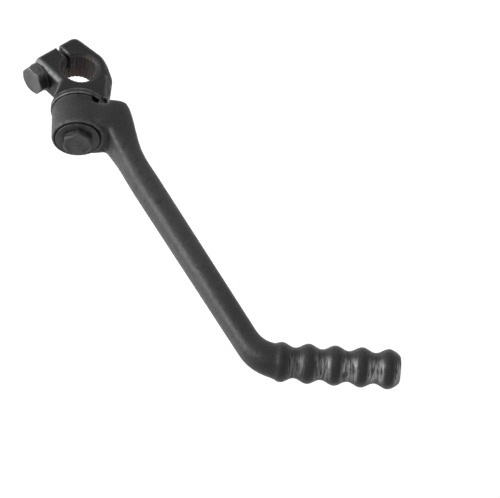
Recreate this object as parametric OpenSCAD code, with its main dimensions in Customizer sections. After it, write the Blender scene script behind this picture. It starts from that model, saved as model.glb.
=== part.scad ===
/* [Shaft clamp] */
// Outside diameter of the serrated kick shaft that the boss clamps on
shaft_d = 15.9; // [13:0.1:18]
// Number of serrations round the bore
serration_count = 28; // [20:1:36]
// Depth of one serration
serration_depth = 0.6; // [0.3:0.05:0.9]
// Share of the pitch that stays as a land between two serrations
serration_land = 0.45; // [0.35:0.01:0.6]
// Thickness of the boss along the kick shaft
boss_t = 14.5; // [12:0.1:18]
// Wall of metal round the serrated bore
boss_wall = 4.1; // [3.5:0.05:6]
// Lead-in chamfer at the outer mouth of the bore
mouth_chamfer = 1.2; // [0.5:0.1:2.4]
// Lead-in chamfer at the engine side mouth of the bore
back_chamfer = 0.5; // [0.3:0.1:1.5]
// Width of the clamping slit
slit_w = 1.7; // [1.2:0.1:3]
// Turn of the two clamp ears about the bore
clamp_turn = 41; // [30:1:55]
// Thickness of the ear under the pinch bolt's head, from the middle of the slit
ear_head = 12.7; // [10:0.1:15]
// Thickness of the tapped ear at its free end, from the middle of the slit
ear_tapped = 10.2; // [8:0.1:13]
// Wall of metal beyond the pinch bolt at the free end of the ears
ear_end_wall = 1; // [0.8:0.1:4]
// Chamfer along the edges of the bolt head's ear
ear_chamfer = 1.5; // [0.3:0.1:2]
// Length over which the tapped ear's free corner is rounded
free_round = 3.2; // [1:0.1:4]

/* [Pinch bolt] */
// Thread diameter of the pinch bolt
pinch_d = 7; // [5:0.5:8]
// Width across flats of the pinch bolt's head
pinch_af = 12; // [8:0.5:13]
// Height of the pinch bolt's head
pinch_head_h = 4; // [3:0.1:5.5]
// Thickness of the washer under the head
pinch_washer_t = 1.3; // [0.8:0.1:2]
// Outside diameter of that washer
pinch_washer_d = 13; // [11:0.1:14]
// Gap between the pinch bolt and the crests of the shaft's serrations
pinch_gap = 0.1; // [0.05:0.01:0.4]

/* [Folding joint] */
// Height of the collar's bearing face above the bore's axis
collar_z = 19.2; // [18.5:0.1:24]
// Thickness of the collar
collar_t = 2.5; // [1.5:0.1:4]
// Radius of the collar
collar_r = 12.1; // [11.8:0.1:15]
// Width of the boss's cheek on the arm's side, from the pivot axis
cheek_w = 14.2; // [12.5:0.1:16]
// Chamfer on the long edges of that cheek
cheek_chamfer = 3.5; // [1.5:0.1:4.5]
// Diameter of the journal that the arm's eye turns on
journal_d = 12; // [10:0.1:13]
// Radial running clearance between the eye and the journal
journal_gap = 0.08; // [0.03:0.01:0.1]
// End float on each side of the eye
end_float = 0.1; // [0.05:0.01:0.3]
// Radius of the arm's eye
eye_r = 11.5; // [11:0.1:14]
// Height of the arm's eye along the pivot
eye_h = 16.5; // [14:0.1:22]
// Chamfer round the lower rim of the eye
eye_chamfer = 0.6; // [0.3:0.1:1]
// Depth of the recess in the eye's end that takes the washer
recess_depth = 1; // [0.5:0.1:2]
// Gap round the washer in its recess
recess_gap = 0.6; // [0.3:0.1:0.8]
// Angle that the arm swings from folded to in use
swing = 90; // [60:1:100]
// Height of the stop lug under the collar
lug_h = 2.8; // [1:0.1:4]
// Width of the stop lug, as an angle about the pivot
lug_w = 16; // [10:1:40]
// Inner radius of the stop lug
lug_r = 10.1; // [9.6:0.1:11]
// Angle of the lug's leading side, from the folded arm
lug_lead = 28; // [10:1:100]
// Free angle of the notch beyond the lug while the arm is folded
notch_room = 18; // [0:1:24]
// How far out the notch is open at the front of the arm's shoulder
notch_open_r = 16; // [13:0.5:18]

/* [Pivot bolt] */
// Thread diameter of the pivot bolt
pivot_d = 8; // [5:0.5:8]
// Width across flats of the pivot bolt's head
pivot_af = 12; // [8:0.5:13]
// Height of the pivot bolt's head
pivot_head_h = 3.4; // [3:0.1:5.5]
// Length of thread below the washer
pivot_len = 13; // [8:0.5:16]
// Radius of the pivot washer
washer_r = 9.8; // [8:0.1:10]
// Thickness of the pivot washer
washer_t = 1.3; // [1:0.1:3]

/* [Detent] */
// Diameter of the detent ball
ball_d = 3.2; // [2.4:0.1:3.6]
// Radius at which the ball runs about the pivot
ball_ring_r = 7.9; // [7.7:0.1:8.2]
// Angle of the ball about the pivot, behind the folded arm
ball_angle = 24; // [10:1:35]
// Depth of the ball's track in the eye
track_depth = 0.35; // [0.2:0.05:0.6]
// How much deeper the two rest pockets are than the track
pocket_depth = 0.45; // [0.2:0.05:0.7]
// Clearance round the ball in its hole
ball_gap = 0.08; // [0.04:0.01:0.2]
// Length of the spring under the ball
spring_len = 6.2; // [4:0.1:8]
// Wire diameter of the spring
spring_wire = 0.45; // [0.3:0.05:0.8]
// Number of turns of the spring
spring_turns = 6; // [4:1:9]

/* [Arm] */
// Distance from the bore's axis to the pedal's axis, along the pivot
arm_rise = 156; // [130:1:190]
// Lean of the straight arm away from the pivot
arm_lean = 27.2; // [15:0.5:35]
// Distance by which the arm's centre line passes the bore's axis
arm_offset = -0.9; // [-4:0.1:4]
// Width of the arm in the plane of its bend
arm_w = 11; // [9:0.1:15]
// Thickness of the arm along the kick shaft
arm_t = 13; // [10:0.1:17]
// Radius of the arm's long edges
arm_edge_r = 3; // [1.5:0.1:4.5]
// Narrowing of the arm's width and thickness towards the pedal
arm_taper = 0.7; // [0:0.1:2]
// Radius of the bend into the pedal, on the centre line
bend_r = 16; // [9:0.5:20]
// Reach of the web's shoulder from the pivot axis
web_reach = 20.8; // [17:0.1:26]
// Thickness of the web at the eye
web_t = 21; // [16:0.1:23]

/* [Pedal] */
// Distance from the pivot axis to the pedal's end
pedal_reach = 139.8; // [120:0.1:170]
// Number of ribs along the pedal
rib_count = 5; // [3:1:7]
// Spacing of the ribs
rib_pitch = 11.5; // [8:0.1:13]
// Diameter over the ribs
rib_d = 17.4; // [14:0.1:22]
// Diameter between the ribs
valley_d = 13.1; // [11:0.1:18]
// Length from the last rib to the flat end
tip_len = 5.1; // [4:0.1:8]

/* [Hidden] */

// Smoothness of round surfaces, and of the points along swept shapes
$fn = 96;
cut = 1;

// The bore: the crests of its teeth are the round wall that grips the shaft
crest_r = shaft_d / 2 - serration_depth;
root_r = shaft_d / 2;
ring_r = root_r + boss_wall;
half_boss = boss_t / 2;

// The pinch bolt lies along the ears, just clear of the shaft's crests
thread_gap = 0.05;
hole_gap = 0.2;
pinch_y = -(crest_r + pinch_gap + pinch_d / 2);
clamp_reach = -pinch_y + pinch_d / 2 + hole_gap + ear_end_wall;
ear_step = 1;
pinch_seat = ear_head + pinch_washer_t;
pinch_tip = -ear_tapped + 0.4;

// Heights along the pivot axis, from the bore's axis up
eye_top = collar_z + end_float;
eye_end = eye_top + eye_h;
eye_break = 0.2;
recess_z = eye_end - recess_depth;
journal_end = recess_z + end_float;
washer_end = journal_end + washer_t;
cheek_top = collar_z - collar_t;

// The stop: the lug hangs from the collar in a notch of the eye
stop_gap = 0.5;
notch_gap = 0.3;
notch_from = lug_lead - swing - stop_gap;
notch_to = lug_lead + lug_w + notch_room;
notch_open = lug_lead - stop_gap;

// The ball at its track height, and its hole in the boss
track_gap = 0.05;
ball_r = ball_d / 2;
ball_z = eye_top + track_depth - track_gap - ball_r;
spring_top = ball_z - ball_r - 0.02;
spring_base = spring_top - spring_len;
spring_r = ball_r - spring_wire / 2 - 0.1;

// The arm's centre line in the plane of its bend: u runs towards the pedal, z along the pivot
function line_u(z) = arm_offset + z * tan(arm_lean);
bend_u = line_u(arm_rise);
bend_turn = 90 - arm_lean;
bend_tangent = bend_r * tan(bend_turn / 2);
bend_in = [bend_u - bend_tangent * sin(arm_lean), arm_rise - bend_tangent * cos(arm_lean)];
bend_centre = bend_in + bend_r * [cos(arm_lean), -sin(arm_lean)];
arm_from_z = eye_end + 24;
neck_r = (rib_d + valley_d) / 4;
tip_r = valley_d / 2 - 0.3;
first_rib = pedal_reach - tip_len - (rib_count - 1) * rib_pitch;

// Stations of the swept arm: [u and z of the left edge, u and z of the right edge,
// half thickness, edge radius]. The web's stations follow the eye and the shoulder.
function station(u, z, lean, half_w, half_t, edge) = [
    u - half_w * cos(lean), z + half_w * sin(lean),
    u + half_w * cos(lean), z - half_w * sin(lean), half_t, edge];
web_stations = [
    [1, eye_end - 0.7, 1, eye_top + 0.8, web_t / 2, 2],
    [eye_r * 0.71, eye_end - 0.5, eye_r, eye_top + 0.3, web_t / 2 - 0.1, 2],
    [eye_r * 1.07, eye_end - 0.3, web_reach - 0.5, eye_top + 0.5, web_t / 2 - 1.2, 2],
    [eye_r * 1.2, eye_end + 2.4, web_reach + 2.5, eye_top + 6.4, web_t / 2 - 1.9, 2.4],
    [eye_r * 1.38, eye_end + 7, web_reach + 4.4, eye_top + 13.9, arm_t / 2 + 1.3, arm_edge_r],
    [eye_r * 1.62, eye_end + 12.6, web_reach + 6.6, eye_top + 22.8, arm_t / 2 + 0.6, arm_edge_r],
    [line_u(arm_from_z - 8) - 4.6, arm_from_z - 5.6, line_u(arm_from_z - 8) + 4.7,
        arm_from_z - 10.4, arm_t / 2 + 0.2, arm_edge_r]];
arm_half_w = arm_w / 2;
end_half_w = (arm_w - arm_taper) / 2;
end_half_t = (arm_t - arm_taper) / 2;
arm_stations = [
    station(line_u(arm_from_z), arm_from_z, arm_lean, arm_half_w, arm_t / 2, arm_edge_r),
    station(bend_in[0], bend_in[1], arm_lean, end_half_w, end_half_t, arm_edge_r)];
// Round the bend the bar turns from its rounded rectangle to the pedal's round neck
bend_steps = 8;
bend_stations = [for (i = [1:bend_steps])
    let (share = i / bend_steps, lean = arm_lean + bend_turn * share,
        at = bend_centre + bend_r * [-cos(lean), sin(lean)],
        half_w = end_half_w + (neck_r - end_half_w) * share,
        half_t = end_half_t + (neck_r - end_half_t) * share)
    station(at[0], at[1], lean, half_w, half_t,
        arm_edge_r + (neck_r * 0.98 - arm_edge_r) * share)];
neck_station = station(first_rib + 1, arm_rise, 90, neck_r, neck_r, neck_r * 0.98);

// Smooth curve through the web's stations, then the straight arm and the bend
function spline(a, b, c, d, t) = 0.5 * (2 * b + (c - a) * t
    + (2 * a - 5 * b + 4 * c - d) * t * t + (3 * b - a - 3 * c + d) * t * t * t);
web_all = concat(web_stations, [arm_stations[0]]);
web_last = len(web_all) - 1;
web_steps = 3;
web_curve = [for (i = [0:web_last - 1], k = [0:web_steps - 1])
    spline(web_all[max(i - 1, 0)], web_all[i], web_all[i + 1],
        web_all[min(i + 2, web_last)], k / web_steps)];
arm_rings = concat(web_curve, arm_stations, bend_stations, [neck_station]);

// One ring of the sweep: a rounded rectangle between its two edges, in part coordinates
corner_steps = 6;
function ring(s) = let (
        mid = [s[0] + s[2], s[1] + s[3]] / 2,
        half = [s[2] - s[0], s[3] - s[1]] / 2,
        half_w = norm(half),
        side = half / half_w,
        edge = min(s[5], half_w * 0.98, s[4] * 0.98))
    [for (c = [0:3], k = [0:corner_steps])
        let (a = 90 * c + 90 * k / corner_steps,
            w = (c == 0 || c == 3 ? 1 : -1) * (half_w - edge) + edge * cos(a),
            y = (c < 2 ? 1 : -1) * (s[4] - edge) + edge * sin(a))
        [-(mid[0] + side[0] * w), y, mid[1] + side[1] * w]];

// A closed skin over rings that all have the same number of points
module skin(rings) {
    n = len(rings[0]);
    last = len(rings) - 1;
    points = [for (r = rings) each r];
    sides = [for (i = [0:last - 1], k = [0:n - 1])
        [i * n + k, i * n + (k + 1) % n, (i + 1) * n + (k + 1) % n, (i + 1) * n + k]];
    foot = [for (k = [0:n - 1]) n - 1 - k];
    head = [for (k = [0:n - 1]) last * n + k];
    polyhedron(points, concat([foot], sides, [head]), convexity = 6);
}

// A hexagon head with turned corners, standing on z = 0
module hex_head(af, h) {
    corner_r = af / 2 / cos(30);
    intersection() {
        cylinder(r = corner_r, h = h, $fn = 6);
        rotate_extrude()
            polygon([[0, 0], [corner_r, 0], [corner_r, h - (corner_r - af / 2) * 0.7],
                [af / 2 * 0.96, h], [0, h]]);
    }
}

// A length of thread as a plain shank with a turned end, hanging below z = 0
module shank(d, h) {
    r = d / 2 - thread_gap;
    lead = d * 0.12;
    translate([0, 0, -h])
        rotate_extrude()
            polygon([[0, 0], [r - lead, 0], [r, lead], [r, h + 0.5], [0, h + 0.5]]);
}

// A plain washer with its outer edge broken, standing on z = 0
module washer(r_in, r_out, t) {
    edge = t * 0.25;
    rotate_extrude()
        polygon([[r_in, 0], [r_out, 0], [r_out, t - edge], [r_out - edge, t], [r_in, t]]);
}

// A sector of a ring about the pivot, from one angle to another, measured from the folded arm
module sector(r_in, r_out, z_from, z_to, from, to) {
    rotate([0, 0, 180 + from])
        translate([0, 0, z_from])
            rotate_extrude(angle = to - from)
                translate([r_in, 0])
                    square([r_out - r_in, z_to - z_from]);
}

// A prism along the kick shaft with its outline in the plane of the bend
module along_shaft(t) {
    rotate([90, 0, 0])
        linear_extrude(t, center = true)
            children();
}

// The clamp's own axes: x out of the bolt head's ear, y from the free end towards the pivot
module on_clamp() {
    rotate([0, -clamp_turn, 0])
        children();
}

// Outline of the clamp and its neck: ears, neck up to the collar, cheek, and the ring's wall,
// which runs off straight to the tapped ear's free corner
function clamp_point(x, y) = [x * cos(clamp_turn) - y * sin(clamp_turn),
    x * sin(clamp_turn) + y * cos(clamp_turn)];
free_corner = clamp_point(-ear_tapped, -clamp_reach);
wall_from = 198;
wall_to = 360 + atan2(free_corner[1], free_corner[0]) - acos(ring_r / norm(free_corner));
wall_steps = 16;
module boss_outline() {
    wall = [for (i = [0:wall_steps])
        let (a = wall_from + (wall_to - wall_from) * i / wall_steps)
        ring_r * [cos(a), sin(a)]];
    along_wall = ring_r * [cos(wall_to), sin(wall_to)] - free_corner;
    along_end = clamp_point(ear_head, -clamp_reach) - free_corner;
    round_from = free_round * along_wall / norm(along_wall);
    round_to = free_round * along_end / norm(along_end);
    corner = [for (t = [0:0.125:1])
        free_corner + (1 - t) * (1 - t) * round_from + t * t * round_to];
    polygon(concat(corner, [clamp_point(ear_head, -clamp_reach),
        clamp_point(ear_head, ear_step), [collar_r - 0.9, cheek_top + 0.4],
        [-collar_r, cheek_top + 0.4], [-collar_r - 0.6, cheek_top],
        [-cheek_w + 0.4, cheek_top - 3.7], [-cheek_w + 0.4, 7.7], [-cheek_w - 0.4, 5],
        [-cheek_w, 2.4], [-ring_r - 0.9, -0.5]], wall));
}

// The serrations: a triangular groove for each tooth of the shaft, set even about the slit
module serrations() {
    pitch = 360 / serration_count;
    half = crest_r * sin(pitch * (1 - serration_land) / 2);
    on_clamp()
        for (i = [0:serration_count - 1])
            rotate([0, 90 + pitch * (i + 0.5), 0])
                along_shaft(boss_t + 2 * cut)
                    polygon([[crest_r - 0.4, -half * 1.4], [root_r, -half * 0.15],
                        [root_r, half * 0.15], [crest_r - 0.4, half * 1.4]]);
}

// The bore with its serrations, and a lead-in at each mouth
module shaft_bore() {
    rotate([90, 0, 0])
        cylinder(r = crest_r, h = boss_t + 2 * cut, center = true);
    serrations();
    mouth(half_boss, mouth_chamfer, 90);
    mouth(half_boss, back_chamfer, -90);
}

// One mouth's lead-in cone, wide at the face of the boss
module mouth(face, chamfer, turn) {
    rotate([turn, 0, 0])
        translate([0, 0, face - chamfer])
            cylinder(r1 = root_r - 0.35, r2 = root_r - 0.35 + chamfer + cut, h = chamfer + cut);
}

// Chamfers along the two long edges of the bolt head's ear
module ear_edge_cuts() {
    side_len = ear_chamfer * sqrt(2);
    for (side = [-1, 1])
        on_clamp()
            translate([ear_head, side * half_boss, (ear_step - clamp_reach - cut) / 2])
                rotate([0, 0, 45])
                    cube([side_len, side_len, ear_step + clamp_reach + cut], center = true);
}

// What is taken off the two long edges of the cheek
module cheek_cuts() {
    outer = cheek_w + 1;
    for (side = [0, 1])
        mirror([0, side, 0])
            translate([0, 0, -cheek_w])
                linear_extrude(cheek_w + cheek_top + cut)
                    polygon([[-outer, half_boss - cheek_chamfer], [-outer, half_boss + cut],
                        [-outer + cheek_chamfer + cut, half_boss + cut]]);
}

// Forged boss: clamp, collar, stop lug and the journal for the arm
module clamp_boss() {
    color([0.13, 0.13, 0.135])
        difference() {
            union() {
                along_shaft(boss_t)
                    boss_outline();
                rotate_extrude()
                    polygon([[0, cheek_top - 1.6], [collar_r - 1.6, cheek_top - 1.6],
                        [collar_r, cheek_top], [collar_r, collar_z],
                        [journal_d / 2, collar_z], [journal_d / 2, journal_end],
                        [0, journal_end]]);
                sector(lug_r, collar_r - 0.2, collar_z - 0.5, collar_z + lug_h,
                    lug_lead, lug_lead + lug_w);
            }
            shaft_bore();
            ear_edge_cuts();
            cheek_cuts();
            on_clamp() {
                // The slit runs from the bore through the free end
                translate([-slit_w / 2, -half_boss - cut, -clamp_reach - cut])
                    cube([slit_w, boss_t + 2 * cut, clamp_reach + cut]);
                // Clear hole in the head's ear, tapped hole in the other
                translate([0, 0, pinch_y])
                    rotate([0, 90, 0])
                        cylinder(d = pinch_d + 2 * hole_gap, h = ear_head + cut);
                translate([0, 0, pinch_y])
                    rotate([0, -90, 0])
                        cylinder(d = pinch_d, h = 2 * ear_tapped);
            }
            // Tapped hole for the pivot bolt
            translate([0, 0, journal_end - pivot_len - 1])
                cylinder(d = pivot_d, h = pivot_len + 1 + cut);
            // Hole for the detent ball and its spring
            rotate([0, 0, 180 - ball_angle])
                translate([ball_ring_r, 0, spring_base])
                    cylinder(r = ball_r + ball_gap, h = collar_z - spring_base + cut);
        }
}

// Turned profile of the pedal along its axis: [distance from the pivot axis, radius]
rib_steps = 10;
function rib_r(s) = (rib_d + valley_d) / 4 + (rib_d - valley_d) / 4 * cos(360 * s);
pedal_profile = concat(
    [[first_rib - rib_pitch * 0.4, 0], [first_rib - rib_pitch * 0.4, neck_r * 0.5]],
    [for (i = [-2:rib_steps * (rib_count - 1) + 3])
        [first_rib + rib_pitch * i / rib_steps, rib_r(i / rib_steps)]],
    [[pedal_reach - 0.5, tip_r], [pedal_reach, tip_r - 0.6], [pedal_reach, 0]]);

// Forged arm in one piece: eye, web, bar and ribbed pedal
module kick_arm() {
    bore_r = journal_d / 2 + journal_gap;
    color([0.15, 0.15, 0.155])
        difference() {
            union() {
                rotate_extrude()
                    polygon([[0, eye_top], [eye_r - eye_break, eye_top], [eye_r, eye_top + eye_break],
                        [eye_r, eye_end - eye_chamfer], [eye_r - eye_chamfer, eye_end],
                        [0, eye_end]]);
                skin([for (s = arm_rings) ring(s)]);
                translate([0, 0, arm_rise])
                    rotate([0, -90, 0])
                        rotate_extrude()
                            polygon([for (p = pedal_profile) [p[1], p[0]]]);
            }
            translate([0, 0, eye_top - cut])
                cylinder(r = bore_r, h = eye_h + 2 * cut);
            translate([0, 0, recess_z - 0.6])
                cylinder(r1 = bore_r, r2 = bore_r + 1, h = 1);
            translate([0, 0, recess_z])
                cylinder(r = washer_r + recess_gap, h = recess_depth + cut);
            // The notch that the stop lug moves in
            sector(lug_r - notch_gap, collar_r + notch_gap, eye_top - cut,
                collar_z + lug_h + notch_gap, notch_from, notch_to);
            sector(lug_r - notch_gap, notch_open_r, eye_top - cut,
                collar_z + lug_h + notch_gap, notch_open, notch_to);
            // The ball's track, and the two pockets that hold the arm folded and in use
            rotate([0, 0, 180 - ball_angle - swing])
                rotate_extrude(angle = swing)
                    translate([ball_ring_r, ball_z])
                        circle(r = ball_r + track_gap, $fn = 48);
            for (a = [ball_angle, ball_angle + swing])
                rotate([0, 0, 180 - a])
                    translate([ball_ring_r, 0, ball_z + pocket_depth])
                        sphere(r = ball_r + track_gap, $fn = 48);
        }
}

// Pinch bolt through both ears, head on its spring washer
module pinch_bolt() {
    color([0.22, 0.22, 0.22])
        on_clamp()
            translate([pinch_seat, 0, pinch_y])
                rotate([0, 90, 0]) {
                    hex_head(pinch_af, pinch_head_h);
                    shank(pinch_d, pinch_seat - pinch_tip);
                }
}

// Plain washer under the pinch bolt's head
module pinch_washer() {
    color([0.2, 0.2, 0.2])
        on_clamp()
            translate([ear_head, 0, pinch_y])
                rotate([0, 90, 0])
                    washer(pinch_d / 2 + hole_gap, pinch_washer_d / 2, pinch_washer_t);
}

// Hexagon bolt screwed into the journal, which keeps the arm on
module pivot_bolt() {
    color([0.2, 0.2, 0.2])
        translate([0, 0, washer_end]) {
            rotate([0, 0, 30])
                hex_head(pivot_af, pivot_head_h);
            shank(pivot_d, pivot_len);
        }
}

// Thick plain washer on the end of the journal
module pivot_washer() {
    color([0.17, 0.17, 0.17])
        translate([0, 0, journal_end])
            washer(pivot_d / 2 + hole_gap, washer_r, washer_t);
}

// Everything in the detent's hole stands on this axis
module at_ball() {
    rotate([0, 0, 180 - ball_angle])
        translate([ball_ring_r, 0, 0])
            children();
}

// Detent ball at the height of its track
module detent_ball() {
    color([0.75, 0.76, 0.78])
        at_ball()
            translate([0, 0, ball_z])
                sphere(r = ball_r, $fn = 48);
}

// Coil spring that presses the ball against the eye
module detent_spring() {
    turn_steps = 16;
    wire_sides = 6;
    wire_r = spring_wire / 2;
    rise = spring_len - spring_wire;
    steps = spring_turns * turn_steps;
    color([0.6, 0.6, 0.62])
        at_ball()
            skin([for (i = [0:steps])
                let (a = 360 * i / turn_steps, z = spring_base + wire_r + rise * i / steps)
                [for (k = [0:wire_sides - 1])
                    let (b = -360 * k / wire_sides, r = spring_r + wire_r * cos(b))
                    [r * cos(a), r * sin(a), z + wire_r * sin(b)]]]);
}

clamp_boss();
kick_arm();
pinch_bolt();
pinch_washer();
pivot_bolt();
pivot_washer();
detent_ball();
detent_spring();
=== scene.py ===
"""Looks of the kick start lever: forged and painted boss and arm, threaded bolts, washers,
detent and a studio stage."""

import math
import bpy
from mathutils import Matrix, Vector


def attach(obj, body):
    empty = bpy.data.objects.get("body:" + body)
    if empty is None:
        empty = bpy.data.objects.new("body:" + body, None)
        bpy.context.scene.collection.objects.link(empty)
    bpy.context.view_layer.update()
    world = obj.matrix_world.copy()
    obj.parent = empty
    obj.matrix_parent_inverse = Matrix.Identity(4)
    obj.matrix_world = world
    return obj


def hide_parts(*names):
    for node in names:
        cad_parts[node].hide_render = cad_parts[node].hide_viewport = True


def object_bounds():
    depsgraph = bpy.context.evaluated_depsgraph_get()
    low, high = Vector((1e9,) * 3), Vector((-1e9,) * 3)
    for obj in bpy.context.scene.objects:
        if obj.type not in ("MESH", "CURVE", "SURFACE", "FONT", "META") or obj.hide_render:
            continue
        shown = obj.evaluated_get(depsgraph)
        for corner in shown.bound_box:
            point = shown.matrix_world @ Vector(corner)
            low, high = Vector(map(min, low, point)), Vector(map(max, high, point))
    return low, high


bl_info = {
    "name": "Kick start lever",
    "version": (1, 0, 0),
    "blender": (4, 5, 0),
    "location": "View3D > Sidebar > Kick Lever",
    "description": "Dresses the solids of a folding kick start lever and lights it in a studio",
    "category": "Object",
}

import bmesh
import bpy
import numpy as np
from bpy.props import FloatProperty, FloatVectorProperty, IntProperty, PointerProperty
from mathutils import Matrix, Vector

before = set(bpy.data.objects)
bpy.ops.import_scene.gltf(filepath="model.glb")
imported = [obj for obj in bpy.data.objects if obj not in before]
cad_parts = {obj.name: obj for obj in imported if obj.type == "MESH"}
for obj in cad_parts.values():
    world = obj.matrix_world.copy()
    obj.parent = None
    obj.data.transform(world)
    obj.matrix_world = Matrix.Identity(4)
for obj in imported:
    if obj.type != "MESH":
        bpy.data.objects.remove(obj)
solid_low, solid_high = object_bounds()
MM = 0.001

# Fixed places and sizes of the clamp, the pivot and the bolts, in millimetres and radians
CLAMP_TURN = math.radians(-41.0)
PINCH_LINE = -10.95
EAR_FACE = 12.7
WASHER_FACE = 34.9
BALL_TURN = math.radians(180.0 - 24.0)
BALL_RING = 7.9
SPRING_BASE = 10.18
PINCH_REACH = 9.8
PIVOT_SHANK = 13.0
PINCH_HOLE = 3.7
PIVOT_HOLE = 4.2
LUG_MIDDLE = math.radians(36.0)

# Where softening sets in or ends, in millimetres: a place and the width of the change there.
# BORE_TEETH is a radius from the bore's axis. EYE_WALL, EYE_BORE and CREASE_REACH are radii from
# the pivot. BAR_END is along X and RIBS_START towards -X. The others are heights along Z.
BORE_TEETH = (8.3, 1.2)
COLLAR_FACE = (18.6, 0.5)
EYE_WALL = (11.0, 1.5)
EYE_BORE = (6.6, 1.0)
EYE_FACE = (19.6, 0.8)
WEB_TOP = (20.2, 1.2)
CREASE_TOP = (27.0, 2.0)
CREASE_REACH = (16.0, 3.0)
BAR_START = (36.0, 24.0)
BAR_END = (-86.0, 6.0)
RIBS_START = (84.0, 4.0)

# The stop lug stands above this height and outside this radius from the pivot, in millimetres,
# and keeps this share of its width
LUG_FOOT = 19.32
LUG_INSIDE = 9.6
LUG_SHARE = 0.9
# How far the softened bar is moved outwards, in millimetres
BAR_SWELL = 0.38

# Painted highlights: light lines on the ear's chamfer, farther than EAR_START across the slit, and
# on the rim of the eye, between two radii and from a height on; in millimetres, after light lines
# in the photograph
CHAMFER_HIGHLIGHT = 0.78
EAR_START = 9.0
RIM_HIGHLIGHT = 0.6
RIM_BAND = (10.7, 11.8)
RIM_TOP = (34.7, 0.4)

# Where the paint changes, in metres. BARE_STEEL and PAINTED_STEEL are radii from the bore's axis,
# EYE_RADIUS is one from the pivot and VALLEY_RADIUS one from the pedal's middle line. EYE_END is a
# height along Z. RIBBED, VALLEY_HIGHLIGHT_REACH and ARM_WEAR are along X.
BARE_STEEL = (0.0078, 0.0086)
PAINTED_STEEL = (0.0096, 0.0106)
EYE_RADIUS = (0.0122, 0.0132)
EYE_END = (0.035, 0.0362)
# VALLEY_RADIUS and the reach along X two lines down bound the painted highlight in the pedal's
# valleys
VALLEY_RADIUS = (0.0073, 0.0084)
RIBBED = (-0.0885, -0.0865)
VALLEY_HIGHLIGHT_REACH = (-0.118, -0.09)
ARM_WEAR = (-0.07, -0.05)
# From one turning ring of a bolt or washer to the next, in metres
RING_STEP = 0.00022

# The line through the middle of the ribbed pedal, in metres
PEDAL_AXIS = (0.0, 0.0, 0.156)
# The side of the pedal, turned about towards the camera, where the painted highlight in its valleys
# is strongest
HIGHLIGHT_SIDE = (0.0, -0.53, 0.85)
# The tint of rust in the bore
RUST = (0.06, 0.03, 0.025, 1.0)

# The photograph's view: its right and up in the part's frame, and the point aimed at, in metres
PHOTO_RIGHT = Vector((-0.99402, -0.10503, 0.00194))
PHOTO_UP = Vector((0.06870, -0.65788, -0.74999))
PHOTO_AIM = Vector((-0.0796, 0.0414, 0.0563))
SENSOR_MM = 36.0
# Half the floor's width, in metres
FLOOR_REACH = 30.0

# Soft lamps: name, place and point lit in metres, width in metres; their power is a setting
LEFT_LAMP = ("left_softbox", (0.92, -0.22, 0.02), (-0.05, 0.0, 0.06), 0.9)
RIM_LAMP = ("rim_softbox", (0.58, 0.78, -0.34), (-0.04, 0.0, 0.04), 0.6)
FRONT_LAMP = ("front_softbox", (0.0, -0.72, 0.75), (-0.06, 0.0, 0.07), 0.3)


def link(obj):
    bpy.context.scene.collection.objects.link(obj)
    return obj


def clean_copy(node, name):
    """A copy of a solid's mesh with its loose corners joined, so that it can be worked on."""
    work = bmesh.new()
    work.from_mesh(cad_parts[node].data)
    bmesh.ops.remove_doubles(work, verts=work.verts, dist=2e-6)
    bmesh.ops.dissolve_degenerate(work, dist=1e-6, edges=work.edges)
    bmesh.ops.recalc_face_normals(work, faces=work.faces)
    mesh = bpy.data.meshes.new(name)
    work.to_mesh(mesh)
    work.free()
    return link(bpy.data.objects.new(name, mesh))


def settle(obj):
    """Turns an object's modifiers into its mesh and takes them off."""
    graph = bpy.context.evaluated_depsgraph_get()
    mesh = bpy.data.meshes.new_from_object(obj.evaluated_get(graph))
    obj.modifiers.clear()
    obj.data = mesh
    mesh.name = obj.name
    return obj


def even_skin(obj, grain_mm):
    """Remeshes the surface in small even faces, so that its edges can be softened."""
    step = obj.modifiers.new("even skin", "REMESH")
    step.mode = "VOXEL"
    step.voxel_size = grain_mm * MM
    step.use_smooth_shade = True
    return settle(obj)


def read_points(mesh):
    """A mesh's points, and the pairs of points that its edges join."""
    points = np.empty(len(mesh.vertices) * 3)
    mesh.vertices.foreach_get("co", points)
    edges = np.empty(len(mesh.edges) * 2, np.int64)
    mesh.edges.foreach_get("vertices", edges)
    return points.reshape(-1, 3), edges.reshape(-1, 2)


def neighbour_mean(points, edges):
    """The mean of each point's neighbours; works for any value kept per point."""
    count = len(points)
    uses = np.bincount(edges.ravel(), minlength=count).clip(1)
    mean = np.empty_like(points)
    for axis in range(points.shape[1]):
        value = points[:, axis]
        mean[:, axis] = (
            np.bincount(edges[:, 0], value[edges[:, 1]], count)
            + np.bincount(edges[:, 1], value[edges[:, 0]], count)
        ) / uses
    return mean


def rise(value, start, over, low=0.0):
    """A share that grows from low at start to 1 within the given width."""
    return np.clip((value - start) / over, low, 1.0)


def fall(value, end, over, low=0.0):
    """A share that drops from 1 to low within the given width before end."""
    return np.clip((end - value) / over, low, 1.0)


def soften(obj, rounds, share):
    """Rounds edges by moving each point towards its neighbours, by a share from 0 to 1 for each."""
    points, edges = read_points(obj.data)
    weight = share(points / MM)[:, None]
    for _ in range(rounds):
        points += 0.5 * weight * (neighbour_mean(points, edges) - points)
    obj.data.vertices.foreach_set("co", points.ravel())
    obj.data.update()


def read_normals(mesh):
    normals = np.empty(len(mesh.vertices) * 3)
    mesh.vertices.foreach_get("normal", normals)
    return normals.reshape(-1, 3)


def swell(obj, amount):
    """Moves each point outwards along its normal, by an amount in millimetres for each."""
    points, _ = read_points(obj.data)
    points += read_normals(obj.data) * amount(points / MM)[:, None] * MM
    obj.data.vertices.foreach_set("co", points.ravel())
    obj.data.update()


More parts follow.
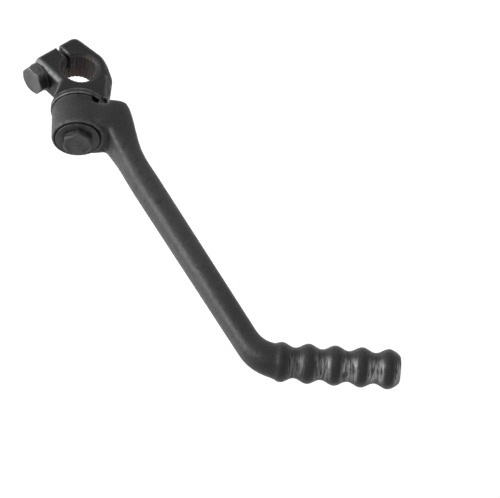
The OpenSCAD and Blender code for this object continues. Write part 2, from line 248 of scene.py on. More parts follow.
def narrow_lug(obj, middle, share):
    """Draws the stop lug in about its middle, so that its skin stays off the notch's ends."""
    points, _ = read_points(obj.data)
    reach = np.hypot(points[:, 0], points[:, 1]) / MM
    lug = (points[:, 2] / MM > LUG_FOOT) & (reach > LUG_INSIDE)
    turn = np.arctan2(-points[:, 1], -points[:, 0])
    turn = middle + (turn - middle) * share
    points[lug, 0] = (-np.cos(turn) * reach * MM)[lug]
    points[lug, 1] = (-np.sin(turn) * reach * MM)[lug]
    obj.data.vertices.foreach_set("co", points.ravel())
    obj.data.update()


def mark_wear(obj, reach, full):
    """Stores the edge wear attribute, which later takes painted highlights too: 1 on convex edges,
    where paint rubs thin, 0 on flats and hollows.

    Each unit of reach spreads it by one edge, and full is the curvature, per mm, that gives 1."""
    mesh = obj.data
    points, edges = read_points(mesh)
    bulge = -((neighbour_mean(points, edges) - points) * read_normals(mesh)).sum(1)
    spacing = np.linalg.norm(points[edges[:, 0]] - points[edges[:, 1]], axis=1).mean()
    bulge = (bulge / spacing**2 * MM)[:, None]
    for _ in range(reach):
        bulge = 0.5 * (bulge + neighbour_mean(bulge, edges))
    value = np.clip(bulge[:, 0] / full, 0.0, 1.0)
    layer = mesh.attributes.new("edge_wear_and_highlight", "FLOAT", "POINT")
    layer.data.foreach_set("value", value.astype(np.float32))


def add_painted_highlight(obj, share):
    """Adds a painted highlight from 0 to 1 to the edge wear, as share says for each point in
    millimetres and its normal.
    """
    mesh = obj.data
    points, edges = read_points(mesh)
    wear_and_highlight_share = share(points / MM, read_normals(mesh))[:, None]
    wear_and_highlight_share = 0.5 * (wear_and_highlight_share + neighbour_mean(wear_and_highlight_share, edges))[:, 0]
    value = np.empty(len(points), np.float32)
    layer = mesh.attributes["edge_wear_and_highlight"].data
    layer.foreach_get("value", value)
    layer.foreach_set("value", np.maximum(value, wear_and_highlight_share).astype(np.float32))


def lathe(name, profile, steps=96):
    """A closed ring turned about +Z from an outline of (radius, height) pairs in millimetres."""
    work = bmesh.new()
    rings = []
    for k in range(steps):
        turn = 2 * math.pi * k / steps
        rings.append(
            [
                work.verts.new(Vector((r * math.cos(turn), r * math.sin(turn), z)) * MM)
                for r, z in profile
            ]
        )
    for k in range(steps):
        near, far = rings[k], rings[(k + 1) % steps]
        for i in range(len(profile)):
            j = (i + 1) % len(profile)
            work.faces.new((near[i], far[i], far[j], near[j]))
    return finish_bmesh(work, name)


def finish_bmesh(work, name, smooth_angle=32.0):
    """Makes an object of a bmesh, faces outwards, with flats kept crisp."""
    bmesh.ops.recalc_face_normals(work, faces=work.faces)
    mesh = bpy.data.meshes.new(name)
    work.to_mesh(mesh)
    work.free()
    mesh.shade_smooth()
    mesh.set_sharp_from_angle(angle=math.radians(smooth_angle))
    return link(bpy.data.objects.new(name, mesh))


def round_corners(outline, radius, steps=3):
    """The same closed outline with every corner rounded by short arcs."""
    made = []
    count = len(outline)
    for i in range(count):
        before, here, after = (Vector(outline[k % count]) for k in (i - 1, i, i + 1))
        start = here + (before - here).normalized() * min(radius, (before - here).length * 0.45)
        end = here + (after - here).normalized() * min(radius, (after - here).length * 0.45)
        for k in range(steps + 1):
            t = k / steps
            made.append(tuple((1 - t) ** 2 * start + 2 * t * (1 - t) * here + t**2 * end))
    return made


def hex_head(name, flats, height):
    """A hexagon bolt head on z = 0, with soft corners, a turned chamfer and a shallow dish."""
    steps = 144
    dish = 0.12
    edge = flats * 0.48
    slope = math.tan(math.radians(29.0))
    work = bmesh.new()

    def corner(turn):
        sector = (math.degrees(turn) + 30.0) % 60.0 - 30.0
        straight = flats / 2 / math.cos(math.radians(sector))
        return min(straight, flats * 0.565) - 0.012 * flats * (abs(sector) / 30.0) ** 8

    # The sides, as shares of the height and of the hexagon's width
    sides = (
        (0.0, 0.94),
        (0.0, 0.985),
        (0.06, 1.0),
        (0.35, 1.0),
        (0.7, 1.0),
        (0.94, 1.0),
        (1.0, 0.99),
    )
    # The top, as rings of a radius and a height
    crown_rings = (
        (edge + 0.12, height - 0.06),
        (edge, height),
        (edge - 0.35, height),
        (edge * 0.8, height - 0.08),
        (edge * 0.3, height - dish),
    )
    levels = []
    for share, rim in sides:
        ring = []
        for k in range(steps):
            turn = 2 * math.pi * k / steps
            r = corner(turn)
            top = height - max(0.0, r - edge) * slope - 0.05
            ring.append((r * rim * math.cos(turn), r * rim * math.sin(turn), top * share))
        levels.append(ring)
    for r, z in crown_rings:
        ring = []
        for k in range(steps):
            turn = 2 * math.pi * k / steps
            reach = min(r, corner(turn) * 0.985)
            ring.append((reach * math.cos(turn), reach * math.sin(turn), z))
        levels.append(ring)
    rows = [[work.verts.new(Vector(p) * MM) for p in ring] for ring in levels]
    for low, high in zip(rows, rows[1:]):
        for k in range(steps):
            n = (k + 1) % steps
            work.faces.new((low[k], low[n], high[n], high[k]))
    work.faces.new(list(reversed(rows[0])))
    crown = work.verts.new((0, 0, (height - dish) * MM))
    for k in range(steps):
        work.faces.new((rows[-1][k], rows[-1][(k + 1) % steps], crown))
    return finish_bmesh(work, name, 24.0)


def new_tree(name, inputs):
    tree = bpy.data.node_groups.new(name, "GeometryNodeTree")
    tree.interface.new_socket("Geometry", in_out="OUTPUT", socket_type="NodeSocketGeometry")
    for label, kind, value in inputs:
        socket = tree.interface.new_socket(label, in_out="INPUT", socket_type=kind)
        if value is not None:
            socket.default_value = value
    return tree, tree.nodes.new("NodeGroupInput"), tree.nodes.new("NodeGroupOutput")


def grow(name, tree, values):
    """Runs a node tree on an empty mesh with the given inputs and keeps the mesh it makes."""
    obj = link(bpy.data.objects.new(name, bpy.data.meshes.new(name)))
    step = obj.modifiers.new("grow", "NODES")
    step.node_group = tree
    for item in tree.interface.items_tree:
        if item.in_out == "INPUT" and item.name in values:
            step[item.identifier] = values[item.name]
    return settle(obj)


def coil_tree(name):
    """A wire wound round Z: used for the thread's ridge and for the spring."""
    length = "NodeSocketFloat"
    tree, given, made = new_tree(
        name,
        [
            ("Radius", length, 0.003),
            ("Height", length, 0.01),
            ("Turns", length, 6.0),
            ("Wire radius", length, 0.0003),
            ("Wire sides", "NodeSocketInt", 8),
            ("Steps", "NodeSocketInt", 24),
            ("Material", "NodeSocketMaterial", None),
        ],
    )
    spiral = tree.nodes.new("GeometryNodeCurveSpiral")
    wire = tree.nodes.new("GeometryNodeCurvePrimitiveCircle")
    skin = tree.nodes.new("GeometryNodeCurveToMesh")
    smooth = tree.nodes.new("GeometryNodeSetShadeSmooth")
    paint = tree.nodes.new("GeometryNodeSetMaterial")
    join = tree.links.new
    join(given.outputs["Radius"], spiral.inputs["Start Radius"])
    join(given.outputs["Radius"], spiral.inputs["End Radius"])
    join(given.outputs["Height"], spiral.inputs["Height"])
    join(given.outputs["Turns"], spiral.inputs["Rotations"])
    join(given.outputs["Steps"], spiral.inputs["Resolution"])
    join(given.outputs["Wire radius"], wire.inputs["Radius"])
    join(given.outputs["Wire sides"], wire.inputs["Resolution"])
    join(spiral.outputs["Curve"], skin.inputs["Curve"])
    join(wire.outputs["Curve"], skin.inputs["Profile Curve"])
    skin.inputs["Fill Caps"].default_value = True
    join(skin.outputs["Mesh"], smooth.inputs["Geometry"])
    join(smooth.outputs["Geometry"], paint.inputs["Geometry"])
    join(given.outputs["Material"], paint.inputs["Material"])
    join(paint.outputs["Geometry"], made.inputs["Geometry"])
    return tree


def joined(name, parts):
    """One object of several, each placed in its mesh."""
    work = bmesh.new()
    materials = []
    for part in parts:
        mesh = part.data
        for material in mesh.materials:
            if material not in materials:
                materials.append(material)
        before = len(work.faces)
        work.from_mesh(mesh)
        work.faces.ensure_lookup_table()
        for face in work.faces[before:]:
            owned = mesh.materials[min(face.material_index, len(mesh.materials) - 1)]
            face.material_index = materials.index(owned)
    mesh = bpy.data.meshes.new(name)
    work.to_mesh(mesh)
    work.free()
    for material in materials:
        mesh.materials.append(material)
    for part in parts:
        bpy.data.objects.remove(part)
    return link(bpy.data.objects.new(name, mesh))


def dress(obj, material):
    obj.data.materials.clear()
    obj.data.materials.append(material)
    return obj


def place(obj, matrix):
    """Moves a piece's own mesh, in millimetres, so that its object stays at the origin."""
    obj.data.transform(Matrix.Scale(MM, 4) @ matrix @ Matrix.Scale(1 / MM, 4))
    return obj


def on_pinch(height):
    """The pinch bolt's axis as +Z, at a height from the middle of the slit."""
    turn = Matrix.Rotation(CLAMP_TURN, 4, "Y")
    return turn @ Matrix.Translation((height, 0, PINCH_LINE)) @ Matrix.Rotation(math.pi / 2, 4, "Y")


class Finish:
    """A principled material built up node by node on Object coordinates."""

    def __init__(self, name):
        self.material = bpy.data.materials.new(name)
        self.material.use_nodes = True
        self.nodes = self.material.node_tree.nodes
        self.links = self.material.node_tree.links
        self.shader = self.nodes["Principled BSDF"]
        self.place = self.nodes.new("ShaderNodeTexCoord").outputs["Object"]

    def add(self, kind, **values):
        made = self.nodes.new(kind)
        for key, value in values.items():
            setattr(made, key, value)
        return made

    def feed(self, source, target):
        if isinstance(source, (int, float, tuple)):
            target.default_value = source
        else:
            self.links.new(source, target)

    def noise(self, scale, detail=3.0, rough=0.5, stretch=None):
        coords = self.place
        if stretch:
            turned = self.add("ShaderNodeMapping")
            turned.inputs["Scale"].default_value = stretch
            self.links.new(coords, turned.inputs["Vector"])
            coords = turned.outputs["Vector"]
        made = self.add("ShaderNodeTexNoise")
        self.links.new(coords, made.inputs["Vector"])
        made.inputs["Scale"].default_value = scale
        made.inputs["Detail"].default_value = detail
        made.inputs["Roughness"].default_value = rough
        return made.outputs["Fac"]

    def range(self, source, low, high, to_low=0.0, to_high=1.0):
        made = self.add("ShaderNodeMapRange")
        made.interpolation_type = "SMOOTHSTEP"
        self.feed(source, made.inputs["Value"])
        ends = (("From Min", low), ("From Max", high), ("To Min", to_low), ("To Max", to_high))
        for label, value in ends:
            made.inputs[label].default_value = value
        return made.outputs["Result"]

    def math(self, kind, a, b=0.0):
        made = self.add("ShaderNodeMath", operation=kind)
        self.feed(a, made.inputs[0])
        self.feed(b, made.inputs[1])
        return made.outputs["Value"]

    def mix(self, share, a, b):
        made = self.add("ShaderNodeMix", data_type="RGBA")
        self.feed(share, made.inputs["Factor"])
        colours = [s for s in made.inputs if s.type == "RGBA"]
        self.feed(a, colours[0])
        self.feed(b, colours[1])
        return [s for s in made.outputs if s.type == "RGBA"][0]

    def axis_distance(self, across, place=None):
        """Distance from an axis through the origin, across the two directions square to it."""
        parts = self.add("ShaderNodeSeparateXYZ")
        self.links.new(place or self.place, parts.inputs["Vector"])
        squares = []
        for axis in across:
            side = parts.outputs[axis]
            squares.append(self.math("MULTIPLY", side, side))
        return self.math("SQRT", self.math("ADD", *squares))

    def along(self, axis):
        """Place along one axis of the part's frame, in metres."""
        parts = self.add("ShaderNodeSeparateXYZ")
        self.links.new(self.place, parts.inputs["Vector"])
        return parts.outputs[axis]

    def attribute(self, name):
        return self.add("ShaderNodeAttribute", attribute_name=name).outputs["Fac"]

    def bump(self, layers):
        """Adds up (height, depth in metres, strength) layers of relief."""
        normal = None
        for height, depth, strength in layers:
            made = self.add("ShaderNodeBump")
            made.inputs["Strength"].default_value = strength
            made.inputs["Distance"].default_value = depth
            self.feed(height, made.inputs["Height"])
            if normal is not None:
                self.links.new(normal, made.inputs["Normal"])
            normal = made.outputs["Normal"]
        self.links.new(normal, self.shader.inputs["Normal"])


def rgba(colour, gain=1.0):
    return tuple(min(1.0, c * gain) for c in colour) + (1.0,)


def turned_eye(f):
    """A layer of relief: the turning marks round the eye."""
    turned = f.noise(1.0, 4.0, 0.6, stretch=(40.0, 40.0, 2600.0))
    on_eye = f.math(
        "MULTIPLY",
        f.range(f.axis_distance("XY"), *EYE_RADIUS, 1.0, 0.0),
        f.range(f.along("Z"), *EYE_END, 1.0, 0.0),
    )
    return f.math("MULTIPLY", turned, on_eye), 0.0005, 1.0


def pedal_valley_highlight(f, wear_and_highlight_colour, shade, rough, metal, relief):
    """Painted highlight in the valleys between the pedal's ribs, strongest on the side turned
    towards the camera: lighter, more metallic and smoother steel with lathe marks.
    """
    from_axis = f.add("ShaderNodeVectorMath", operation="SUBTRACT")
    f.links.new(f.place, from_axis.inputs[0])
    from_axis.inputs[1].default_value = PEDAL_AXIS
    radius = f.axis_distance("YZ", from_axis.outputs["Vector"])
    lathe_marks = f.noise(1.0, 4.0, 0.6, stretch=(1250.0, 170.0, 170.0))
    valley = f.math(
        "MULTIPLY",
        f.range(radius, *VALLEY_RADIUS, 1.0, 0.0),
        f.range(f.along("X"), *RIBBED, 1.0, 0.0),
    )
    towards = f.add("ShaderNodeVectorMath", operation="DOT_PRODUCT")
    f.links.new(from_axis.outputs["Vector"], towards.inputs[0])
    towards.inputs[1].default_value = HIGHLIGHT_SIDE
    # Painted highlight: strongest on the side turned towards the camera
    wear_and_highlight_share = f.range(f.math("DIVIDE", towards.outputs["Value"], radius), 0.55, 0.97)
    valley_highlight = f.math("MULTIPLY", valley, f.range(lathe_marks, 0.36, 0.6, 0.1, 1.0))
    valley_highlight = f.math("MULTIPLY", valley_highlight, f.math("ADD", f.math("MULTIPLY", wear_and_highlight_share, 0.9), 0.1))
    valley_highlight = f.math("MULTIPLY", valley_highlight, f.range(f.along("X"), *VALLEY_HIGHLIGHT_REACH, 1.0, 0.4))
    shade = f.mix(f.math("MULTIPLY", valley_highlight, 0.9), shade, rgba(wear_and_highlight_colour, 1.8))
    metal = f.math("MAXIMUM", metal, f.math("MULTIPLY", valley_highlight, 0.7))
    rough = f.math("SUBTRACT", rough, f.math("MULTIPLY", valley_highlight, 0.08))
    relief.append((f.math("MULTIPLY", lathe_marks, valley), 0.00015, 0.5))
    return shade, rough, metal


def bare_bore(f, steel, shade, metal):
    """Bare and slightly rusty steel in the serrated bore."""
    radius = f.axis_distance("XZ")
    edge_noise = f.range(f.noise(420.0, 3.0), 0.2, 0.8, -0.0003, 0.0003)
    bare = f.range(f.math("ADD", radius, edge_noise), *BARE_STEEL, 1.0, 0.0)
    rust = f.mix(f.range(f.noise(180.0, 4.0, 0.6), 0.46, 0.72), rgba(steel), RUST)
    return f.mix(bare, shade, rust), f.math("MAXIMUM", metal, f.math("MULTIPLY", bare, 0.5))


def paint_finish(name, colour, wear_and_highlight_colour, gloss, bore_steel=None, pedal=False):
    """Satin black over a forging: fine grain, slow drift of gloss, thin places on the edges, and
    painted highlights on the ear's chamfer, the eye's rim and in the pedal's valleys.
    """
    f = Finish(name)
    drift = f.noise(55.0, 3.0)
    grain = f.noise(900.0, 4.0, 0.7)
    skin = f.noise(330.0, 3.0, 0.55)
    patches = f.range(f.noise(260.0, 4.0, 0.65), 0.3, 0.54)
    edge = f.math("MULTIPLY", f.attribute("edge_wear_and_highlight"), patches)
    if pedal:
        edge = f.math("MULTIPLY", edge, f.range(f.along("X"), *ARM_WEAR, 0.1, 1.0))
    if bore_steel:
        off_bore = f.range(f.axis_distance("XZ"), *PAINTED_STEEL, 0.25, 1.0)
        edge = f.math("MULTIPLY", edge, off_bore)
    shade = f.mix(f.range(drift, 0.3, 0.7), rgba(colour, 0.82), rgba(colour, 1.25))
    shade = f.mix(f.range(grain, 0.5, 0.72, 0.0, 0.6), shade, rgba(colour, 2.6))
    # Lighter where the edge wear attribute says: paint rubbed thin on convex edges, and painted
    # highlight lines on the ear's chamfer and the eye's rim
    shade = f.mix(f.math("MULTIPLY", edge, 0.8), shade, rgba(wear_and_highlight_colour))
    slow = f.range(drift, 0.25, 0.75, 0.36, 0.44)
    rough = f.math("ADD", slow, f.range(grain, 0.35, 0.65, -0.08, 0.1))
    metal = f.math("MULTIPLY", edge, 0.5)
    relief = [(skin, 0.0002, 0.9), (grain, 0.00026, 1.0)]
    if pedal:
        relief.append(turned_eye(f))
        shade, rough, metal = pedal_valley_highlight(f, wear_and_highlight_colour, shade, rough, metal, relief)
    if bore_steel:
        shade, metal = bare_bore(f, bore_steel, shade, metal)
    f.feed(shade, f.shader.inputs["Base Color"])
    f.feed(rough, f.shader.inputs["Roughness"])
    f.feed(metal, f.shader.inputs["Metallic"])
    f.shader.inputs["Specular IOR Level"].default_value = gloss
    f.bump(relief)
    return f.material


def turned_finish(name, colour, rough, metal):
    """Dark steel with turning rings about the pivot, faint mottling and rubbed spots."""
    f = Finish(name)
    rings = f.math("SINE", f.math("MULTIPLY", f.axis_distance("XY"), 2 * math.pi / RING_STEP))
    mottle = f.noise(240.0, 4.0, 0.65)
    grain = f.noise(1700.0, 3.0)
    shade = f.mix(f.range(mottle, 0.36, 0.66), rgba(colour, 0.6), rgba(colour, 1.45))
    shade = f.mix(f.range(grain, 0.6, 0.8, 0.0, 0.4), shade, rgba(colour, 2.2))
    f.feed(shade, f.shader.inputs["Base Color"])
    f.feed(f.range(mottle, 0.3, 0.7, rough - 0.05, rough + 0.07), f.shader.inputs["Roughness"])
    f.shader.inputs["Metallic"].default_value = metal
    f.bump([(rings, 0.00002, 0.35), (mottle, 0.00008, 0.3), (grain, 0.00003, 0.3)])
    return f.material


def ball_finish(name, colour):
    """Polished ball steel with faint rubbed patches."""
    f = Finish(name)
    wear_and_highlight_share = f.range(f.noise(600.0, 4.0, 0.6), 0.4, 0.7)
    f.feed(f.mix(wear_and_highlight_share, rgba(colour), rgba(colour, 0.8)), f.shader.inputs["Base Color"])
    f.feed(f.range(wear_and_highlight_share, 0.0, 1.0, 0.12, 0.24), f.shader.inputs["Roughness"])
    f.shader.inputs["Metallic"].default_value = 1.0
    f.bump([(wear_and_highlight_share, 0.00001, 0.2)])
    return f.material


def seen_directly(tree):
    """1 for rays from the camera, straight, by reflection or through glass, otherwise 0."""
    path = tree.nodes.new("ShaderNodeLightPath")
    total = path.outputs["Is Camera Ray"]
    for kind in ("Is Glossy Ray", "Is Transmission Ray"):
        either = tree.nodes.new("ShaderNodeMath")
        either.operation = "MAXIMUM"
        tree.links.new(total, either.inputs[0])
        tree.links.new(path.outputs[kind], either.inputs[1])
        total = either.outputs[0]
    return total


def white_room(name, light):
    """Plain surroundings: white where they are seen, of the given strength as light."""
    world = bpy.data.worlds.new(name)
    world.use_nodes = True
    tree = world.node_tree
    strength = tree.nodes.new("ShaderNodeMapRange")
    tree.links.new(seen_directly(tree), strength.inputs["Value"])
    strength.inputs["To Min"].default_value = light
    strength.inputs["To Max"].default_value = 1.0
    backdrop = tree.nodes["Background"]
    backdrop.inputs["Color"].default_value = (1.0, 1.0, 1.0, 1.0)
    tree.links.new(strength.outputs["Result"], backdrop.inputs["Strength"])
    return world


def floor_finish(name, shade):
    """Pale matt floor, near white to the camera and in reflections, that still takes a shadow."""
    material = bpy.data.materials.new(name)
    material.use_nodes = True
    tree = material.node_tree
    shader = tree.nodes["Principled BSDF"]
    shader.inputs["Base Color"].default_value = rgba(shade)
    shader.inputs["Roughness"].default_value = 0.9
    shader.inputs["Specular IOR Level"].default_value = 0.0
    glow = tree.nodes.new("ShaderNodeMath")
    glow.operation = "MULTIPLY"
    glow.inputs[1].default_value = 0.42
    tree.links.new(seen_directly(tree), glow.inputs[0])
    shader.inputs["Emission Color"].default_value = (1.0, 1.0, 1.0, 1.0)
    tree.links.new(glow.outputs[0], shader.inputs["Emission Strength"])
    return material


def size(name, about, value, low, high):
    return FloatProperty(name=name, description=about, default=value, min=low, max=high)


def colour(name, about, value):
    return FloatVectorProperty(
        name=name, description=about, default=value, size=3, min=0.0, max=1.0, subtype="COLOR"
    )


class KickLeverSizes(bpy.types.PropertyGroup):
    boss_grain: size("Boss grain (mm)", "Face size of the boss's remeshed skin", 0.27, 0.2, 1.0)
    arm_grain: size("Arm grain (mm)", "Face size of the arm's remeshed skin", 0.44, 0.3, 1.5)
    head_flats: size("Head across flats (mm)", "Width of both hexagon heads", 12.0, 6.0, 14.0)
    pinch_head_height: size(
        "Pinch head height (mm)", "Height of the pinch bolt's head", 4.0, 2.0, 6.0
    )
    pivot_head_height: size(
        "Pivot head height (mm)", "Height of the pivot bolt's head", 3.4, 2.0, 6.0
    )
    pinch_thread_radius: size(
        "Pinch thread radius (mm)", "Radius over the pinch bolt's thread", 3.45, 1.5, 5.0
    )
    pivot_thread_radius: size(
        "Pivot thread radius (mm)", "Radius over the pivot bolt's thread", 3.95, 1.5, 5.0
    )
    thread_pitch: size("Thread pitch (mm)", "Rise of the thread in one turn", 1.25, 0.4, 2.0)
    washer_thickness: size("Washer thickness (mm)", "Thickness of both washers", 1.3, 0.8, 3.0)
    pinch_washer_radius: size(
        "Pinch washer radius (mm)", "Outer radius of the pinch bolt's washer", 6.5, 5.0, 8.0
    )
    pivot_washer_radius: size(
        "Pivot washer radius (mm)", "Outer radius of the pivot washer", 9.8, 8.0, 13.0
    )
    spring_radius: size(
        "Spring radius (mm)", "Radius of the spring to the middle of its wire", 1.27, 0.8, 2.5
    )
    spring_length: size("Spring length (mm)", "Length of the detent spring", 6.2, 3.0, 9.0)
    spring_wire: size("Spring wire (mm)", "Diameter of the spring's wire", 0.45, 0.2, 0.9)
    spring_turns: IntProperty(
        name="Spring turns", description="Number of turns of the spring", default=6, min=3, max=12
    )


class KickLeverFinishes(bpy.types.PropertyGroup):
    boss_paint: colour("Boss paint", "Satin black of the clamp boss", (0.005, 0.005, 0.0055))
    arm_paint: colour("Arm paint", "Satin black of the arm", (0.008, 0.008, 0.0088))
    # The worn colour is also that of the painted highlights on the ear's chamfer, the eye's rim and
    # in the pedal's valleys
    wear_and_highlight_paint: colour("Worn edge", "Where the paint is rubbed thin", (0.16, 0.16, 0.162))
    bore_steel: colour("Bore steel", "Bare steel of the serrated bore", (0.038, 0.033, 0.033))
    fastener: colour("Fasteners", "Black oxide of the bolts", (0.04, 0.04, 0.041))
    washer: colour("Washers", "Black oxide of the washers", (0.032, 0.032, 0.033))
    ball: colour("Ball steel", "Hard polished steel", (0.72, 0.73, 0.75))
    spring: colour("Spring steel", "Drawn wire", (0.34, 0.34, 0.35))
    floor: colour("Floor", "Pale matt floor", (0.8, 0.8, 0.8))


class KickLeverStage(bpy.types.PropertyGroup):
    camera_distance: size(
        "Camera distance (m)", "From the lens to the point aimed at", 3.0, 0.5, 10.0
    )
    view_width: size("View width (m)", "Width of the view at the point aimed at", 0.22, 0.05, 2.0)
    floor_drop: size("Floor drop (m)", "How far below the part the floor lies", 0.12, 0.0, 1.0)
    left_light: size(
        "Left light (W)", "Power of the soft light at the photograph's left", 25.0, 0.0, 50.0
    )
    rim_light: size(
        "Rim light (W)", "Power of the soft light behind the part at the left", 3.0, 0.0, 50.0
    )
    front_light: size(
        "Front light (W)", "Power of the small soft light beside the camera", 0.25, 0.0, 50.0
    )
    sky: size(
        "Sky", "Strength with which the plain white surroundings light the part", 0.6, 0.0, 3.0
    )


def sizes():
    return bpy.context.scene.kick_lever_sizes


def finishes():
    return bpy.context.scene.kick_lever_finishes


class KICKLEVER_OT_clamp_boss(bpy.types.Operator):
    """Forged boss with the serrated bore, its skin softened and painted"""

    bl_idname = "kicklever.clamp_boss"
    bl_label = "Clamp boss"

    def execute(self, context):
        boss = even_skin(clean_copy("clamp_boss", "painted_boss"), sizes().boss_grain)

        def share(p):
            bore = np.hypot(p[:, 0], p[:, 2])
            return rise(bore, *BORE_TEETH, 0.15) * fall(p[:, 2], *COLLAR_FACE, 0.1)

        soften(boss, rounds=9, share=share)
        narrow_lug(boss, LUG_MIDDLE, LUG_SHARE)
        mark_wear(boss, reach=2, full=0.3)

        # Painted highlight: a light line on the chamfer faces along the ear, added to the edge wear
        def ear_chamfer(p, normal):
            out = np.array((math.cos(CLAMP_TURN), 0.0, -math.sin(CLAMP_TURN)))
            turned = normal @ (out - (0.0, 1.0, 0.0)) / math.sqrt(2)
            return CHAMFER_HIGHLIGHT * rise(turned, 0.94, 0.03) * (p @ out > EAR_START)

        add_painted_highlight(boss, ear_chamfer)
        f = finishes()
        paint = paint_finish("satin_black_boss", f.boss_paint, f.wear_and_highlight_paint, 0.19, f.bore_steel)
        dress(boss, paint)
        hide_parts("clamp_boss")
        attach(boss, "boss")
        return {"FINISHED"}


class KICKLEVER_OT_kick_arm(bpy.types.Operator):
    """Forged arm with its eye, web and ribbed pedal, blended as one piece and painted"""

    bl_idname = "kicklever.kick_arm"
    bl_label = "Kick arm"

    def execute(self, context):
        arm = even_skin(clean_copy("kick_arm", "painted_arm"), sizes().arm_grain)

        def blend(p):
            pivot = np.hypot(p[:, 0], p[:, 1])
            web = rise(pivot, *EYE_WALL) * rise(p[:, 2], *WEB_TOP)
            rib = rise(-p[:, 0], *RIBS_START)
            crease = rise(p[:, 2], *CREASE_TOP) * fall(pivot, *CREASE_REACH)
            return web * (1.0 - rib) * (1.0 - 0.85 * crease)

        def bar(p):
            return rise(p[:, 2], *BAR_START) * rise(p[:, 0], *BAR_END)

        def overall(p):
            pivot = np.hypot(p[:, 0], p[:, 1])
            return rise(pivot, *EYE_BORE, 0.1) * rise(p[:, 2], *EYE_FACE)

        soften(arm, rounds=34, share=blend)
        soften(arm, rounds=130, share=bar)
        soften(arm, rounds=4, share=overall)
        swell(arm, lambda p: BAR_SWELL * bar(p))
        mark_wear(arm, reach=4, full=0.4)

        # Painted highlight: a light line round the rim at the eye's end, on faces turned outwards,
        # added to the edge wear
        def eye_rim(p, normal):
            pivot = np.hypot(p[:, 0], p[:, 1])
            outwards = (normal[:, :2] * p[:, :2]).sum(1) / pivot
            wear = RIM_HIGHLIGHT * rise(p[:, 2], *RIM_TOP) * np.clip(3.0 * outwards, 0.0, 1.0)
            return wear * (pivot > RIM_BAND[0]) * (pivot < RIM_BAND[1])

        add_painted_highlight(arm, eye_rim)
        f = finishes()
        dress(arm, paint_finish("satin_black_arm", f.arm_paint, f.wear_and_highlight_paint, 0.25, pedal=True))
        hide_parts("kick_arm")
        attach(arm, "arm")
        return {"FINISHED"}


def threaded_bolt(name, head_mm, thread_mm, shank_mm, material):
    """A bolt head on z = 0 with its threaded shank below."""
    s = sizes()
    head = dress(hex_head(name + "_head", s.head_flats, head_mm), material)
    depth = 0.3 * s.thread_pitch
    core = thread_mm - 2 * depth
    inside, overlap = 0.02, 0.1
    corners = [
        (inside, overlap),
        (core, overlap),
        (core, 0.6 - shank_mm),
        (core * 0.8, -shank_mm),
        (inside, -shank_mm),
    ]
    shank = dress(lathe(name + "_shank", round_corners(corners, 0.25), 48), material)
    turns = (shank_mm - 1.6) / s.thread_pitch
    ridge = grow(
        name + "_thread",
        coil_tree(name + "_thread"),
        {
            "Radius": (thread_mm - depth) * MM,
            "Height": turns * s.thread_pitch * MM,
            "Turns": turns,
            "Wire radius": depth * MM,
            "Wire sides": 6,
            "Steps": int(turns * 40),
            "Material": material,
        },
    )
    place(ridge, Matrix.Translation((0, 0, 0.9 - shank_mm)))
    return joined(name, [head, shank, ridge])


class KICKLEVER_OT_bolts(bpy.types.Operator):
    """Pinch bolt across the ears and pivot bolt in the journal, with turned heads and threads"""

    bl_idname = "kicklever.bolts"
    bl_label = "Bolts"

    def execute(self, context):
        s = sizes()
        seat = EAR_FACE + s.washer_thickness
        shank = seat + PINCH_REACH
        steel = turned_finish("black_oxide_pinch", finishes().fastener, 0.38, 0.45)
        pinch = threaded_bolt(
            "threaded_pinch_bolt", s.pinch_head_height, s.pinch_thread_radius, shank, steel
        )
        place(pinch, on_pinch(seat) @ Matrix.Rotation(math.radians(30), 4, "Z"))
        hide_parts("pinch_bolt")
        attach(pinch, "boss")
        steel = turned_finish("black_oxide_pivot", finishes().fastener, 0.4, 0.5)
        pivot = threaded_bolt(
            "threaded_pivot_bolt", s.pivot_head_height, s.pivot_thread_radius, PIVOT_SHANK, steel
        )
        place(pivot, Matrix.Translation((0, 0, WASHER_FACE + s.washer_thickness)))
        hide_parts("pivot_bolt")
        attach(pivot, "boss")
        return {"FINISHED"}


class KICKLEVER_OT_washers(bpy.types.Operator):
    """Turned washers under both bolt heads"""

    bl_idname = "kicklever.washers"
    bl_label = "Washers"

    def execute(self, context):
        s = sizes()
        t = s.washer_thickness
        on_ear = on_pinch(EAR_FACE)
        on_journal = Matrix.Translation((0, 0, WASHER_FACE))
        for name, node, hole, reach, matrix in (
            ("turned_pinch_washer", "pinch_washer", PINCH_HOLE, s.pinch_washer_radius, on_ear),
            ("turned_pivot_washer", "pivot_washer", PIVOT_HOLE, s.pivot_washer_radius, on_journal),
        ):
            outline = round_corners([(hole, 0.0), (reach, 0.0), (reach, t), (hole, t)], 0.34, 4)
            washer = lathe(name, outline, 128)
            dress(washer, turned_finish(name + "_steel", finishes().washer, 0.42, 0.45))
            place(washer, matrix)
            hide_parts(node)
            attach(washer, "boss")
        return {"FINISHED"}


class KICKLEVER_OT_detent(bpy.types.Operator):
    """Ball and coil spring inside the boss"""

    bl_idname = "kicklever.detent"
    bl_label = "Detent"

    def execute(self, context):
        s = sizes()
        dress(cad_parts["detent_ball"], ball_finish("polished_ball", finishes().ball))
        wire = s.spring_wire / 2
        material = turned_finish("drawn_spring_wire", finishes().spring, 0.34, 0.9)
        spring = grow(
            "wound_spring",
            coil_tree("wound_spring"),
            {
                "Radius": s.spring_radius * MM,
                "Height": (s.spring_length - 2 * wire) * MM,
                "Turns": float(s.spring_turns),
                "Wire radius": wire * MM,
                "Wire sides": 10,
                "Steps": 32 * s.spring_turns,
                "Material": material,
            },
        )
        outwards = Matrix.Translation((BALL_RING, 0, SPRING_BASE + wire))
        place(spring, Matrix.Rotation(BALL_TURN, 4, "Z") @ outwards)
        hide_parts("detent_spring")
        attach(spring, "boss")
        return {"FINISHED"}


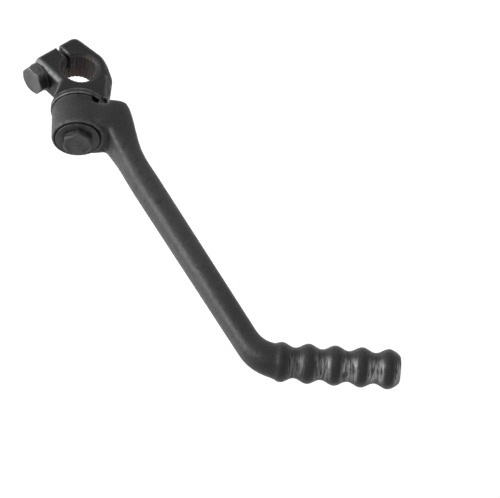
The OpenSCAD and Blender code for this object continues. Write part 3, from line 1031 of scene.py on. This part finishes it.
def soft_light(lamp_row, power):
    """A square lamp that the camera doesn't see, from a row of name, place, point lit and width."""
    name, spot, aim, width = lamp_row
    lamp = bpy.data.lights.new(name, "AREA")
    lamp.energy = power
    lamp.shape = "SQUARE"
    lamp.size = width
    obj = link(bpy.data.objects.new(name, lamp))
    obj.location = spot
    obj.rotation_euler = (Vector(aim) - Vector(spot)).to_track_quat("-Z", "Y").to_euler()
    obj.visible_camera = False
    return obj


class KICKLEVER_OT_stage(bpy.types.Operator):
    """Pale floor, soft studio light and the camera at the photograph's angle"""

    bl_idname = "kicklever.stage"
    bl_label = "Stage"

    def execute(self, context):
        scene = context.scene
        stage = scene.kick_lever_stage

        work = bmesh.new()
        bmesh.ops.create_grid(work, x_segments=8, y_segments=8, size=FLOOR_REACH)
        floor_mesh = bpy.data.meshes.new("floor")
        work.to_mesh(floor_mesh)
        work.free()
        floor_mesh.transform(Matrix.Translation((0, 0, solid_low.z - stage.floor_drop)))
        floor = link(bpy.data.objects.new("floor", floor_mesh))
        floor.data.materials.append(floor_finish("pale_floor", finishes().floor))

        soft_light(LEFT_LAMP, stage.left_light)
        soft_light(RIM_LAMP, stage.rim_light)
        soft_light(FRONT_LAMP, stage.front_light)

        scene.world = white_room("white_room", stage.sky)
        scene.view_settings.view_transform = "Standard"

        back = PHOTO_RIGHT.cross(PHOTO_UP).normalized()
        lens = bpy.data.cameras.new("photo_camera")
        lens.sensor_width = SENSOR_MM
        lens.lens = SENSOR_MM * stage.camera_distance / stage.view_width
        lens.clip_start, lens.clip_end = 0.05, 100.0
        camera = link(bpy.data.objects.new("photo_camera", lens))
        turn = Matrix((PHOTO_RIGHT, PHOTO_UP, back)).transposed().to_4x4()
        camera.matrix_world = Matrix.Translation(PHOTO_AIM + back * stage.camera_distance) @ turn
        scene.camera = camera
        return {"FINISHED"}


class KICKLEVER_PT_panel(bpy.types.Panel):
    """Lists the lever's pieces and its settings"""

    bl_idname = "KICKLEVER_PT_panel"
    bl_label = "Kick start lever"
    bl_space_type = "VIEW_3D"
    bl_region_type = "UI"
    bl_category = "Kick Lever"

    def draw(self, context):
        layout = self.layout
        for operator in OPERATORS:
            layout.operator(operator.bl_idname)
        for key, _ in GROUPS:
            group = getattr(context.scene, key)
            box = layout.box()
            for setting in group.__annotations__:
                box.prop(group, setting)


OPERATORS = (
    KICKLEVER_OT_clamp_boss,
    KICKLEVER_OT_kick_arm,
    KICKLEVER_OT_bolts,
    KICKLEVER_OT_washers,
    KICKLEVER_OT_detent,
    KICKLEVER_OT_stage,
)
GROUPS = (
    ("kick_lever_sizes", KickLeverSizes),
    ("kick_lever_finishes", KickLeverFinishes),
    ("kick_lever_stage", KickLeverStage),
)


def register():
    for key, group in GROUPS:
        bpy.utils.register_class(group)
        setattr(bpy.types.Scene, key, PointerProperty(type=group))
    for made in (*OPERATORS, KICKLEVER_PT_panel):
        bpy.utils.register_class(made)


def unregister():
    for made in (KICKLEVER_PT_panel, *reversed(OPERATORS)):
        bpy.utils.unregister_class(made)
    for key, group in reversed(GROUPS):
        delattr(bpy.types.Scene, key)
        bpy.utils.unregister_class(group)


def main():
    register()
    bpy.ops.kicklever.clamp_boss()
    bpy.ops.kicklever.kick_arm()
    bpy.ops.kicklever.bolts()
    bpy.ops.kicklever.washers()
    bpy.ops.kicklever.detent()
    bpy.ops.kicklever.stage()


if __name__ == "__main__":
    main()
